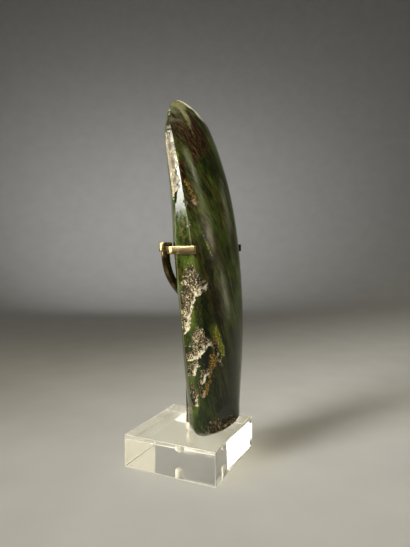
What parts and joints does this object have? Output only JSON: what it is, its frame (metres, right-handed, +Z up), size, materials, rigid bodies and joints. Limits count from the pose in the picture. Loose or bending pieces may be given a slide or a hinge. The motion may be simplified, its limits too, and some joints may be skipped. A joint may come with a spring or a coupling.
{
  "type": "jadeite axe head on a display stand",
  "caption": "Polished pointed-oval stone axe head with worn, chipped sides, standing on a clear square block and held at its back by a thin brass rod and clip.",
  "frame": {"origin": "middle of the flat underside of the acrylic block, on the surface that the object stands on", "axes": "+Z up along the axe, which stands on its butt with its cutting edge at the top; -Y is the front, where the axe shows its broad face; -X is the narrow side held by the short clip arm"},
  "size_m": [0.0778, 0.0792, 0.2846],
  "materials": {
    "jade": "satin",
    "acrylic": "polished",
    "brass": "satin"
  },
  "bodies": {
    "root": {"axe_head": "jade", "acrylic_block": "acrylic", "stem_rod": "brass", "collar": "brass", "near_arm": "brass", "far_arm": "brass"}
  },
  "joints": []
}
